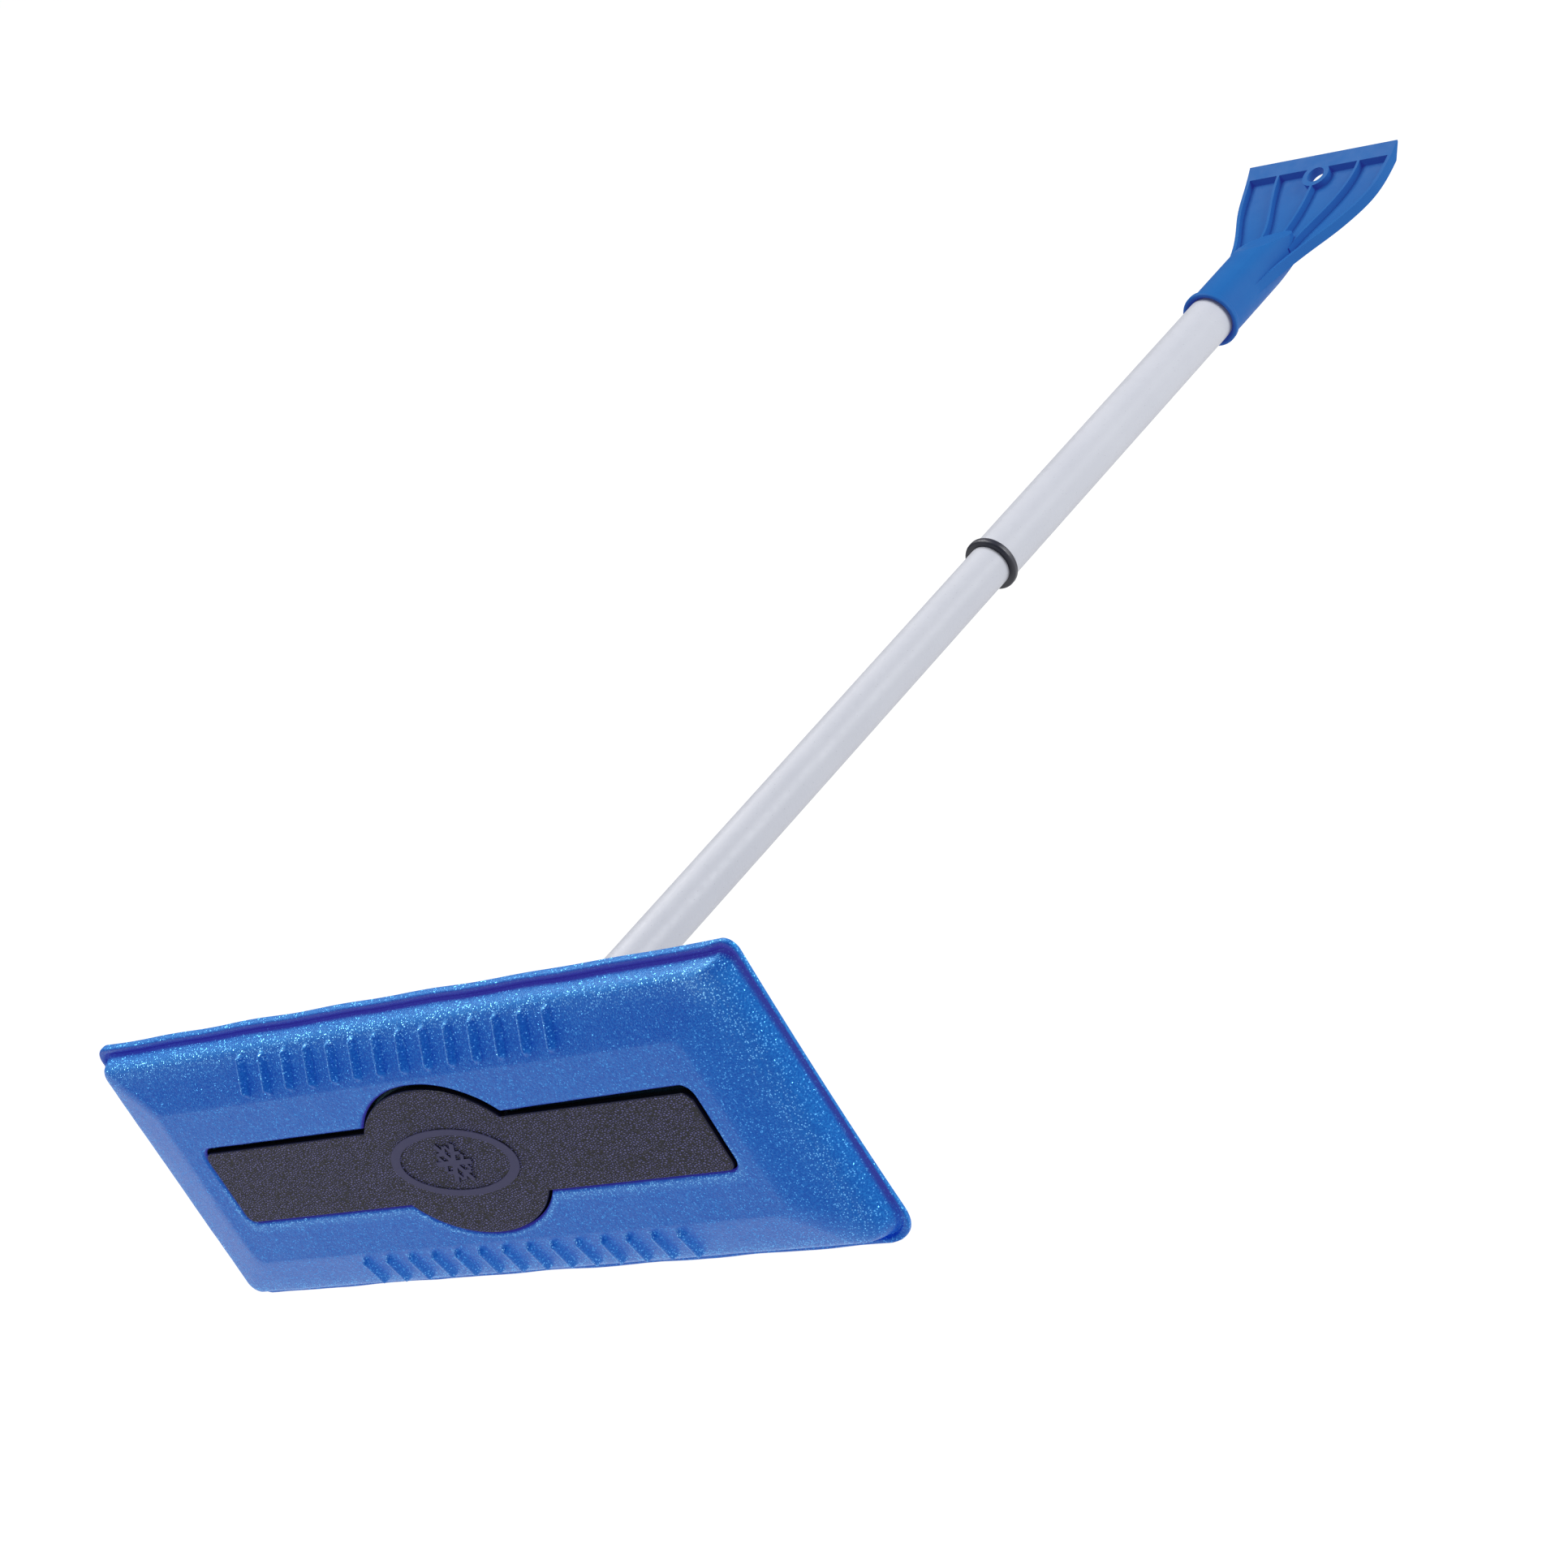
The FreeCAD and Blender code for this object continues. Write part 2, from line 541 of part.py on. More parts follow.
def fan_blade():
    """Curved fan with side walls, a band behind the edge, three ribs and the hole's boss."""
    lip = 1.2
    heel = BLADE_REACH - 7.8
    start = BLADE_HALF_WIDTHS[0][1]
    top = section_edges(start, BLADE_REACH, 0)
    bottom = section_edges(start, heel, BLADE_THICKNESS)
    edge_top = blade_point(BLADE_REACH, 0)
    edge_low = Vector(0, BLADE_REACH - 0.4, edge_top.z - lip)
    closing = [Part.LineSegment(edge_top, edge_low).toShape(),
               Part.LineSegment(edge_low, blade_point(heel, BLADE_THICKNESS)).toShape(),
               Part.LineSegment(blade_point(start, BLADE_THICKNESS), blade_point(start, 0)).toShape()]
    half = BLADE_HALF_WIDTHS[-1][0] + 5
    blade = across(Part.__sortEdges__(top + bottom + closing), half).common(blade_plan(0))

    floor = section_edges(start, BAND_START, POCKET_DEPTH)
    far = Vector(0, BAND_START, 40)
    near = Vector(0, start, 40)
    above = [Part.LineSegment(blade_point(BAND_START, POCKET_DEPTH), far).toShape(),
             Part.LineSegment(far, near).toShape(),
             Part.LineSegment(near, blade_point(start, POCKET_DEPTH)).toShape()]
    pocket = across(Part.__sortEdges__(floor + above), half).common(blade_plan(WALL))
    pocket = pocket.cut([rib_plan(MIDDLE_RIB, 1), rib_plan(SIDE_RIB, 1), rib_plan(SIDE_RIB, -1)])
    pocket = pocket.cut(hole_rod(HOLE_BOSS_RADIUS))
    return blade.cut(pocket)


def hole_axis():
    """Centre of the hanging hole in the blade's mid-thickness, and the blade's normal there."""
    centre = blade_point(HOLE_REACH, BLADE_THICKNESS / 2)
    normal = Vector(0, BLADE_FLAT_END - HOLE_REACH, CURVE_CENTRE_Z - centre.z).normalize()
    return centre, normal


def hole_rod(radius):
    """A bar along the hanging hole."""
    centre, normal = hole_axis()
    return Part.makeCylinder(radius, 40, centre - normal * 20, normal)


def socket_sleeve():
    """Round sleeve with a slanted top facet, a tapering underside and a rounded nose."""
    nose_start = 70.0
    nose_end = 98.0
    facet_start = 50.0
    facet_end_z = 3.0
    taper_start = 49.0
    taper_end = 104.0
    far = 120.0
    sleeve = rod(SLEEVE_RADIUS, (0, nose_end))
    straight = box((-20, 20), (-1, nose_start), (-20, 20))
    ellipse = Part.Ellipse(Vector(0, nose_end, -20), Vector(SLEEVE_RADIUS, nose_start, -20),
                           Vector(0, nose_start, -20))
    nose = Part.Face(Part.Wire([ellipse.toShape()])).extrude(Vector(0, 0, 40))
    sleeve = sleeve.common(straight.fuse(nose))
    facet_slope = (SLEEVE_RADIUS - facet_end_z) / (nose_end - facet_start)
    facet_far = SLEEVE_RADIUS - facet_slope * (far - facet_start)
    facet = Part.makePolygon([Vector(-20, facet_start, SLEEVE_RADIUS), Vector(-20, far, facet_far),
                              Vector(-20, far, 30), Vector(-20, facet_start, 30),
                              Vector(-20, facet_start, SLEEVE_RADIUS)])
    floor_z = BLADE_ROOT_Z - BLADE_THICKNESS
    taper = Part.makePolygon([Vector(-20, taper_start, -SLEEVE_RADIUS), Vector(-20, taper_end, floor_z),
                              Vector(-20, taper_end, -30), Vector(-20, taper_start, -30),
                              Vector(-20, taper_start, -SLEEVE_RADIUS)])
    for outline in (facet, taper):
        sleeve = sleeve.cut(Part.Face(outline).extrude(Vector(40, 0, 0)))
    rim = rod(RIM_RADIUS, (0, RIM_LENGTH))
    rim = rim.makeFillet(1.3, [e for e in rim.Edges if e.BoundBox.YLength < 0.01])
    return sleeve.fuse(rim)


def scraper():
    """Socket and ribbed fan blade in one moulding."""
    body = fan_blade().fuse(socket_sleeve())
    body = body.cut(rod(OUTER_RADIUS, (-1, SCRAPER_GRIP)))
    body = body.cut(Part.makeCone(OUTER_RADIUS + 2, OUTER_RADIUS, 2.5, ORIGIN, Y_AXIS))
    body = body.cut(hole_rod(HOLE_RADIUS))
    body = body.cut(upright(3.5, SCREW_REACH, (-SLEEVE_RADIUS - 1, FIX_SEAT_Z)))
    body = body.cut(upright(FIX_SCREW_RADIUS, SCREW_REACH, (-SLEEVE_RADIUS, 0)))
    body = body.removeSplitter()
    body.translate(Vector(0, SCRAPER_RIM_Y, 0))
    return body


# ---- export -------------------------------------------------------------------------------------
HEAD_AND_INNER_POLE = (foam_head, front_plate, back_plate, plate_screws, inner_tube, tube_foot_plug,
                       snap_button, button_spring, guide_sleeve, lock_core, core_pins, lock_ring,
                       lock_washer, lock_screw)
OUTER_POLE = (outer_tube, guide_collar, wiper_ring, tube_end_plug, scraper, scraper_screw)

for piece in HEAD_AND_INNER_POLE:
    export(piece.__name__, piece())

for piece in OUTER_POLE:
    shape = piece()
    shape.rotate(ORIGIN, Y_AXIS, BLADE_TWIST)
    export(piece.__name__, shape)

centre, normal = hole_axis()
turn = FreeCAD.Rotation(Y_AXIS, BLADE_TWIST)
centre = turn.multVec(centre + Vector(0, SCRAPER_RIM_Y, 0))
print("hanging hole centre", centre, "axis", turn.multVec(normal))
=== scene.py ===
import math

import bmesh
import bpy
import numpy as np
from mathutils import Matrix, Vector


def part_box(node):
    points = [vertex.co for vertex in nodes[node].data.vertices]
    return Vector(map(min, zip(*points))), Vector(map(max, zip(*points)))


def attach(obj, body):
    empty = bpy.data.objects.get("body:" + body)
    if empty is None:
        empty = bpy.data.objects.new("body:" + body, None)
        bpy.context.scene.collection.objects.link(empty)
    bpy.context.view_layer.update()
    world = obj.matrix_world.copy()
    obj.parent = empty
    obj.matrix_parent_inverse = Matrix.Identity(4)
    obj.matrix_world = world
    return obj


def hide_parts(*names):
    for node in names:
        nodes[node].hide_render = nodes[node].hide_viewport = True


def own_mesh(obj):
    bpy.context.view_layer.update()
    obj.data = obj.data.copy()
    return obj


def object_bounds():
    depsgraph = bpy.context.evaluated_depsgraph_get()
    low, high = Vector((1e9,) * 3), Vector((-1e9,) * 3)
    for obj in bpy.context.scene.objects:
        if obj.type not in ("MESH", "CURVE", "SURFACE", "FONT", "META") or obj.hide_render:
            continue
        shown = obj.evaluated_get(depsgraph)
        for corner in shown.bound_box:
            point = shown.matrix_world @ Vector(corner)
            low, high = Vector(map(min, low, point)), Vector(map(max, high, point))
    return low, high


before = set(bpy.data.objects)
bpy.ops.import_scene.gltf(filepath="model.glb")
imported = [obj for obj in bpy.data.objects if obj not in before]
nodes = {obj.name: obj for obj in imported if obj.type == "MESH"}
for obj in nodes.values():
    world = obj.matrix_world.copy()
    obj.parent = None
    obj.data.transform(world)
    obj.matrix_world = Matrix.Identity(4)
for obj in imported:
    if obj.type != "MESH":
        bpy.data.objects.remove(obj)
cad_low, cad_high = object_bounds()

MM = 0.001

# ---- sizes of the head's foam, in millimetres --------------------------------------------------------
foam_low, foam_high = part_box("foam_head")
_, plate_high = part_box("front_plate")
HEAD_X = foam_high.x / MM
HEAD_Z = foam_high.z / MM
BACK_Y = foam_high.y / MM
PLATEAU_Y = foam_low.y / MM
FLANGE_CORNER = 7.0
CORNER_EASE = 0.2             # how much a corner's radius shrinks for each millimetre further in
FLANGE_Y = 18.0
GROOVE_Y = 20.4
SHOULDER_INSET = 7.1
SHOULDER_Y = 9.5
PLATEAU_X = 188.0
PLATEAU_Z = 47.6
PLATEAU_CORNER = 5.0
CORNER_SHARE = (1.0, 1.0, 1.2, 2.2)     # top right, top left, bottom left and bottom right
TAPER = 0.02                            # the pad's right end is this share taller than its middle
RIGHT_TRIM = 1.9                        # how much the pad's right end is trimmed in its middle ...
RIGHT_LEAN = 1.1                        # ... and how much more at its top
LEFT_REACH = 0.5                        # how much further out its left end reaches
RIGHT_PULL = 6.0                        # how much further in the shoulder lies at the right end
RIGHT_THIN = 3.0                        # how much thinner the flange is there ...
RIGHT_CUT = 2.0                         # ... and how much it is cut back in its middle
END_REACH = 16.0                        # the flange changes this far from the right edge ...
END_BLEND = 8.0                         # ... over this length
PULL_START = 150.0                      # the shoulder starts to move in here ...
PULL_BLEND = 50.0                       # ... and has done so over this length
FLANGE_LIP = 3.0                        # the flange's outer part, as far in from the edge as this

PLATE_X = plate_high.x / MM
PLATE_Z = 21.4
PLATE_CORNER = 5.0
PLATE_BACK_Y = 4.0
BULGE_X = 56.5
BULGE_Z = plate_high.z / MM

RECESS_GAP = 1.2              # between plate and foam
RECESS_LIFT = 0.6             # the recess sits a little high, so the gap is wider above the plate
RECESS_OPENING = 1.8          # how fast that gap opens further towards the right
RECESS_ROLL = 2.5             # radius of the foam's rolled lip
RECESS_Y = 7.0
RECESS_TAPER = 0.6            # how far the recess narrows at its floor
FLOOR_RINGS = 5               # rings of the recess's floor, which stay even

RELIEF_COUNT = 14             # raised bars on each long slope
RELIEF_PITCH = 17.0
RELIEF_HALF_LENGTH = 8.2
RELIEF_RADIUS = 2.8
RELIEF_FLANK = 2.1
RELIEF_HEIGHT = 2.9
RELIEF_SLANT = math.radians(12)
FLANK_STEP = 0.9              # distance over which a bar's flank is measured
# painted highlight on the bars' upper left flanks
FLANK_SHINE = 1.5

# painted highlights in the foam's colour: along the rounded shoulder and in a spot near the top right
# corner
SHOULDER_SHINE = 0.8          # how brightly the rounded shoulder shines ...
SHOULDER_SHINE_RIGHT = 0.45   # ... and how brightly at the right end
SHOULDER_SHINE_WIDTH = 2.6
SPOT_FROM_CORNER = (16.0, 12.0)
SPOT_RADIUS = 9.0

FACE_WAVES = ((0.10, 34, 1), (0.03, 9, 2))     # height, wavelength and seed of the pad's unevenness
FLANGE_WAVE = (0.22, 42, 3)
EDGE_WAVE = (0.28, 55, 4)


# ---- meshes ------------------------------------------------------------------------------------------
def new_object(name, mesh, material, body):
    """A finished piece: linked, shaded smooth, riding on its body."""
    piece = bpy.data.objects.new(name, mesh)
    bpy.context.scene.collection.objects.link(piece)
    mesh.materials.clear()
    mesh.materials.append(material)
    mesh.shade_smooth()
    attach(piece, body)
    return piece


def graded(inner, inner_steps, outer_steps):
    """Fractions from -1 to 1 with fine steps within +-inner and coarser ones outside it."""
    middle = np.linspace(-inner, inner, inner_steps + 1)
    outer = np.linspace(inner, 1, outer_steps + 1)[1:]
    return np.concatenate([-outer[::-1], middle, outer])


LONG_SIDE = graded(0.62, 320, 30)
SHORT_SIDE = np.linspace(-1, 1, 61)
CORNER_STEPS = 11


def arc(centre_x, centre_z, radius, quarter):
    """The inner points of a quarter circle, as columns x and z."""
    angle = (quarter + np.arange(1, CORNER_STEPS) / CORNER_STEPS) * math.pi / 2
    return np.column_stack([centre_x + radius * np.cos(angle), centre_z + radius * np.sin(angle)])


def outline(half_x, half_z, corner, height=None, shares=(1, 1, 1, 1)):
    """A closed rounded rectangle, from the right side anticlockwise.

    height(x) may raise its long sides; shares gives each corner's radius as a share of corner.
    """
    radii = [corner * share for share in shares]
    turns = [(half_x - radii[0], half_z - radii[0]), (radii[1] - half_x, half_z - radii[1]),
             (radii[2] - half_x, radii[2] - half_z), (half_x - radii[3], radii[3] - half_z)]

    def long_side(start, end, z):
        x = (start + end) / 2 + (end - start) / 2 * LONG_SIDE
        reach = np.full_like(x, abs(z)) if height is None else np.maximum(abs(z), height(x))
        return np.column_stack([x, math.copysign(1, z) * reach])

    def short_side(x, start, end):
        z = (start + end) / 2 + (end - start) / 2 * SHORT_SIDE
        return np.column_stack([np.full_like(z, x), z])

    top_right, top_left, bottom_left, bottom_right = turns
    return np.concatenate([
        short_side(half_x, bottom_right[1], top_right[1]), arc(*top_right, radii[0], 0),
        long_side(top_right[0], top_left[0], half_z), arc(*top_left, radii[1], 1),
        short_side(-half_x, top_left[1], bottom_left[1]), arc(*bottom_left, radii[2], 2),
        long_side(bottom_left[0], bottom_right[0], -half_z), arc(*bottom_right, radii[3], 3)])


def level(flat, y):
    """Outline points lifted to pole position y."""
    return np.column_stack([flat[:, 0], np.full(len(flat), y), flat[:, 1]])


def plate_outline(grow):
    """The recess's outline, grown from the plate's: a long bar with a bulge in the middle."""
    bulge_x = BULGE_X + grow
    bulge_z = BULGE_Z + grow

    def bulge(x):
        return bulge_z * np.sqrt(np.maximum(1 - (x / bulge_x) ** 2, 0))

    flat = outline(PLATE_X + grow, PLATE_Z + grow, PLATE_CORNER + grow, bulge)
    above = np.clip(flat[:, 1] / PLATE_Z, 0, 1) * np.clip((flat[:, 0] - BULGE_X) / PLATE_X, 0, 1)
    flat[:, 1] += RECESS_OPENING * above
    return flat


def spine(half_x, y):
    """The line that a closed surface ends in."""
    flat = outline(half_x + 1, 1, 0.5)
    flat[:, 0] = np.clip(flat[:, 0], -half_x, half_x)
    flat[:, 1] = 0
    return level(flat, y)


def soft_path(stations, blends, step):
    """Rows along a polyline of stations (half_x, half_z, corner, y) whose corners are blended.

    blends gives, for each inner station, how far the blend reaches before and after it.
    """
    points = [np.array(station, float) for station in stations]
    rows = [points[0]]
    start = points[0]
    for i in range(1, len(points) - 1):
        before, after = blends[i - 1]
        into = points[i] - points[i - 1]
        out_of = points[i + 1] - points[i]
        first = points[i] - into * before / np.linalg.norm(into[[1, 3]])
        last = points[i] + out_of * after / np.linalg.norm(out_of[[1, 3]])
        steps = max(1, int(np.linalg.norm((first - start)[[1, 3]]) / step))
        rows += [start + (first - start) * k / steps for k in range(1, steps + 1)]
        bend_steps = max(4, int((before + after) / step))
        for k in range(1, bend_steps + 1):
            t = k / bend_steps
            rows.append(first * (1 - t) ** 2 + points[i] * 2 * t * (1 - t) + last * t ** 2)
        start = last
    rows.append(points[-1])
    return rows


def skin(rings, name, marks):
    """A closed mesh through rings of points in millimetres; the end rings may be folded flat.

    marks gives each point's values by name; they are kept as the mesh's attributes.
    """
    count = len(rings[0])
    points = np.concatenate(rings) * MM
    first = np.arange(len(rings) - 1)[:, None] * count
    here = np.arange(count)[None, :]
    following = (here + 1) % count
    corners = [first + here, first + following, first + count + following, first + count + here]
    quads = np.stack(corners, -1)
    mesh = bpy.data.meshes.new(name)
    mesh.from_pydata(points.tolist(), [], quads.reshape(-1, 4).tolist())
    for mark, values in marks.items():
        mesh.attributes.new(mark, "FLOAT", "POINT").data.foreach_set("value", values)
    shell = bmesh.new()
    shell.from_mesh(mesh)
    ends = list(shell.verts)[:count] + list(shell.verts)[-count:]
    bmesh.ops.remove_doubles(shell, verts=ends, dist=0.01 * MM)
    bmesh.ops.dissolve_degenerate(shell, edges=shell.edges, dist=1e-7)
    bmesh.ops.recalc_face_normals(shell, faces=shell.faces)
    shell.to_mesh(mesh)
    shell.free()
    return mesh


def ripple(points, height, wavelength, seed):
    """A smooth random offset between about -height and height at each point."""
    chance = np.random.default_rng(seed)
    total = np.zeros(len(points))
    waves = 7
    for _ in range(waves):
        direction = chance.normal(size=3)
        direction /= np.linalg.norm(direction)
        turns = 2 * math.pi / (wavelength * chance.uniform(0.7, 1.6))
        total += np.sin(points @ direction * turns + chance.uniform(0, 2 * math.pi))
    return height * total / math.sqrt(waves)


def relief_height(x, along):
    """Height of the row of slanted bars; along runs up the slope from its middle."""
    lean_x = math.sin(RELIEF_SLANT)
    lean_up = math.cos(RELIEF_SLANT)
    height = np.zeros_like(x)
    for i in range(RELIEF_COUNT):
        from_x = x - (i - (RELIEF_COUNT - 1) / 2) * RELIEF_PITCH
        reach = np.clip(from_x * lean_x + along * lean_up, -RELIEF_HALF_LENGTH, RELIEF_HALF_LENGTH)
        distance = np.hypot(from_x - reach * lean_x, along - reach * lean_up)
        rise = np.clip((RELIEF_RADIUS - distance) / RELIEF_FLANK, 0, 1)
        height = np.maximum(height, RELIEF_HEIGHT * rise * rise * (3 - 2 * rise))
    return height


def raise_relief(ring):
    """Moves the points of the two long slopes out along the slope's normal by the relief.

    Returns how much each point lies on a bar's upper left flank, from 0 to 1, where the foam gets a
    painted highlight.
    """
    shoulder_z = HEAD_Z - SHOULDER_INSET
    rise = SHOULDER_Y - PLATEAU_Y
    run = shoulder_z - PLATEAU_Z
    length = math.hypot(rise, run)
    side = np.sign(ring[:, 2])
    x = ring[:, 0] * side
    along = (np.abs(ring[:, 2]) - (shoulder_z + PLATEAU_Z) / 2) * length / run
    height = relief_height(x, along)
    flank = (relief_height(x + FLANK_STEP, along - FLANK_STEP)
             - relief_height(x - FLANK_STEP, along + FLANK_STEP))
    ring[:, 1] -= height * run / length
    ring[:, 2] += side * height * rise / length
    return np.clip(side * flank, 0, 1)


def soften_right_end(ring, inset):
    """Reshapes a ring's right end: the shoulder is set in, and the flange is thin and trimmed there."""
    y = ring[0, 1]
    up = ring[:, 2] / HEAD_Z
    if y <= SHOULDER_Y:
        pull = 1 - (inset - SHOULDER_INSET) / (HEAD_X - PLATEAU_X - SHOULDER_INSET)
    else:
        pull = 1 - (y - SHOULDER_Y) / (FLANGE_Y - SHOULDER_Y)
    near_end = np.clip((ring[:, 0] - PULL_START) / PULL_BLEND, 0, 1)
    ring[:, 0] -= RIGHT_PULL * max(pull, 0) ** 2 * near_end
    end = np.clip((ring[:, 0] - HEAD_X + END_REACH) / END_BLEND, 0, 1)
    thin = RIGHT_THIN * end * (1 - 0.3 * up * up)
    wall = float(np.clip((y - SHOULDER_Y - 1.5) / (FLANGE_Y - SHOULDER_Y - 1.5), 0, 1))
    if y < FLANGE_Y:
        ring[:, 1] += thin * wall
    else:
        ring[:, 1] += thin * (BACK_Y - y) / (BACK_Y - FLANGE_Y)
    if inset > FLANGE_LIP:
        ring[:, 0] += 0.5 * end * wall
    else:
        ring[:, 0] -= RIGHT_CUT * end * (1 - up * up) * (1 - inset / FLANGE_LIP)


def out_of_square(ring):
    """Moves a ring of the pad as it was moulded and trimmed: tapered, and not quite square."""
    across = ring[:, 0] / HEAD_X
    up = ring[:, 2] / HEAD_Z
    ring[:, 0] -= (1 + across) / 2 * (RIGHT_TRIM + RIGHT_LEAN * up) + (1 - across) / 2 * LEFT_REACH
    ring[:, 2] *= 1 + TAPER * across


def painted_groove_shade(ring, inset):
    """Painted shade for a ring of the foam's outer part in the flange's groove, from 0 to 1: more the
    deeper it lies, less towards the left end, none along the bottom.
    """
    y = ring[0, 1]
    if y > BACK_Y - 0.5:
        return np.zeros(len(ring))
    depth = np.clip((y - FLANGE_Y + 1.4) / 1.4, 0, 1) * np.clip((inset - 0.2) / 1.0, 0, 1)
    away_from_left = 0.65 + 0.35 * np.clip((ring[:, 0] + HEAD_X) / 200, 0, 1)
    return depth * away_from_left * np.clip((ring[:, 2] + HEAD_Z - 8) / 16, 0, 1)


def painted_shine_at(ring):
    """How much painted highlight a ring of the foam's outer part gets: along the shoulder, and in a spot
    near one corner.
    """
    right_end = np.clip((ring[:, 0] - HEAD_X + 30) / 20, 0, 1)
    shoulder = SHOULDER_SHINE - (SHOULDER_SHINE - SHOULDER_SHINE_RIGHT) * right_end
    painted_shine = shoulder * math.exp(-((ring[0, 1] - SHOULDER_Y) / SHOULDER_SHINE_WIDTH) ** 2)
    spot = np.hypot(ring[:, 0] - HEAD_X + SPOT_FROM_CORNER[0], ring[:, 2] - HEAD_Z + SPOT_FROM_CORNER[1])
    return painted_shine + np.exp(-(spot / SPOT_RADIUS) ** 2)


def outer_stations():
    """The foam's profile from its back over the flange and shoulder to the plateau, with its blends."""
    def edge(inset, y):
        return (HEAD_X - inset, HEAD_Z - inset, FLANGE_CORNER - inset * CORNER_EASE, y)

    stations = [edge(FLANGE_LIP, BACK_Y), edge(0.0, BACK_Y), edge(0.0, FLANGE_Y),
                edge(2.6, FLANGE_Y + 0.2), edge(3.8, GROOVE_Y), edge(4.4, FLANGE_Y + 1.0),
                edge(SHOULDER_INSET, SHOULDER_Y),
                (PLATEAU_X, PLATEAU_Z, PLATEAU_CORNER, PLATEAU_Y),
                (PLATEAU_X - 2.5, PLATEAU_Z - 1.0, PLATEAU_CORNER, PLATEAU_Y)]
    blends = [(1.4, 1.4), (1.8, 1.2), (0.6, 0.6), (0.9, 0.6), (0.3, 0.3), (3.2, 3.6), (4.0, 0.9)]
    return stations, blends


def foam_rings():
    """Rings of the foam, from the middle of its back over the flange to the middle of the recess.

    Also returns each point's marks: "shade", painted shade in the groove and recess; "dark", painted
    deep shadow deep in the recess; and "glint", painted highlights where the foam shines.
    """
    rings = [spine(HEAD_X - HEAD_Z, BACK_Y)]
    rings += [level(outline(HEAD_X - inset, HEAD_Z - inset, 5.0), BACK_Y) for inset in (50, 20)]
    nothing = np.zeros(len(rings[0]))
    painted_shades = [nothing] * len(rings)
    painted_glints = [nothing] * len(rings)
    back_rings = len(rings)
    for half_x, half_z, corner, y in soft_path(*outer_stations(), 0.75):
        ring = level(outline(half_x, half_z, corner, shares=CORNER_SHARE), y)
        inset = HEAD_X - half_x
        # painted shade in the flange's groove
        painted_shades.append(painted_groove_shade(ring, inset))
        # painted highlight along the shoulder, in the corner spot and on the bars' flanks
        painted_shine = painted_shine_at(ring)
        if y < SHOULDER_Y + 1:
            painted_shine = np.maximum(painted_shine, FLANK_SHINE * raise_relief(ring))
        painted_glints.append(painted_shine)
        soften_right_end(ring, inset)
        out_of_square(ring)
        rings.append(ring)

    raised = (0, 0, RECESS_LIFT)
    rim = level(plate_outline(RECESS_GAP + RECESS_ROLL), PLATEAU_Y) + raised
    # painted highlight on the recess's rolled lip: strong along its lower side, faint along its upper
    # side
    lit_side = np.where(rim[:, 2] < 0, 1.0, 0.15)
    outer = rings[-1]
    for share in (0.1, 0.2, 0.3, 0.4, 0.5, 0.6, 0.7, 0.78, 0.84, 0.89, 0.93, 0.96, 0.98):
        rings.append(outer + (rim - outer) * share)
        painted_shades.append(nothing)
        painted_glints.append(lit_side * max(0, (share - 0.78) / 0.22))
    roll_steps = 9
    for k in range(roll_steps + 1):
        angle = k / roll_steps * math.pi / 2
        grow = RECESS_GAP + RECESS_ROLL * (1 - math.sin(angle))
        depth = RECESS_ROLL * (1 - math.cos(angle))
        rings.append(level(plate_outline(grow), PLATEAU_Y + depth) + raised)
        # painted shade on the inner part of the recess's rolled lip
        painted_shades.append(nothing + min(max((depth - 0.3) / 0.6, 0), 1))
        painted_glints.append(lit_side * max(0, 1 - depth / 0.7))
    floor = [level(plate_outline(RECESS_GAP), RECESS_Y - RECESS_TAPER) + raised,
             level(plate_outline(RECESS_GAP - RECESS_TAPER), RECESS_Y) + raised,
             level(plate_outline(-1.5), RECESS_Y),
             level(plate_outline(-2.5), PLATE_BACK_Y),
             spine(PLATE_X - PLATE_Z, PLATE_BACK_Y)]
    rings += floor
    # painted shade over the recess's floor
    painted_shades += [nothing + 1] * FLOOR_RINGS
    painted_glints += [nothing] * FLOOR_RINGS
    # painted deep shadow: near black far down in the recess
    painted_recess_darks = [nothing] * back_rings
    painted_recess_darks += [nothing + float(ring[0, 1] > PLATEAU_Y + 2 and ring[0, 0] < PLATEAU_X)
              for ring in rings[back_rings:]]
    marks = {"shade": painted_shades, "dark": painted_recess_darks, "glint": painted_glints}
    return rings, {name: np.concatenate(values) for name, values in marks.items()}


def make_foam(material):
    """The foam pad, with softly uneven faces and a slightly wavy flange."""
    rings, marks = foam_rings()
    for ring in rings[1:-FLOOR_RINGS]:
        # the flange waves more than the faces, and the back stays flat
        flange = np.clip((ring[:, 1] - SHOULDER_Y) / (FLANGE_Y - SHOULDER_Y), 0, 1)
        free = np.clip((BACK_Y - ring[:, 1]) / 4, 0, 1)
        wave = sum(ripple(ring, *face_wave) for face_wave in FACE_WAVES)
        ring[:, 1] += free * (wave + flange * ripple(ring, *FLANGE_WAVE))
        outward = flange * ripple(ring, *EDGE_WAVE)
        ring[:, 2] += np.sign(ring[:, 2]) * outward * (np.abs(ring[:, 2]) > HEAD_Z - 12)
    piece = new_object("foam_pad", skin(rings, "foam_pad", marks), material,
                       "head_and_inner_pole")
    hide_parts("foam_head")
    return piece


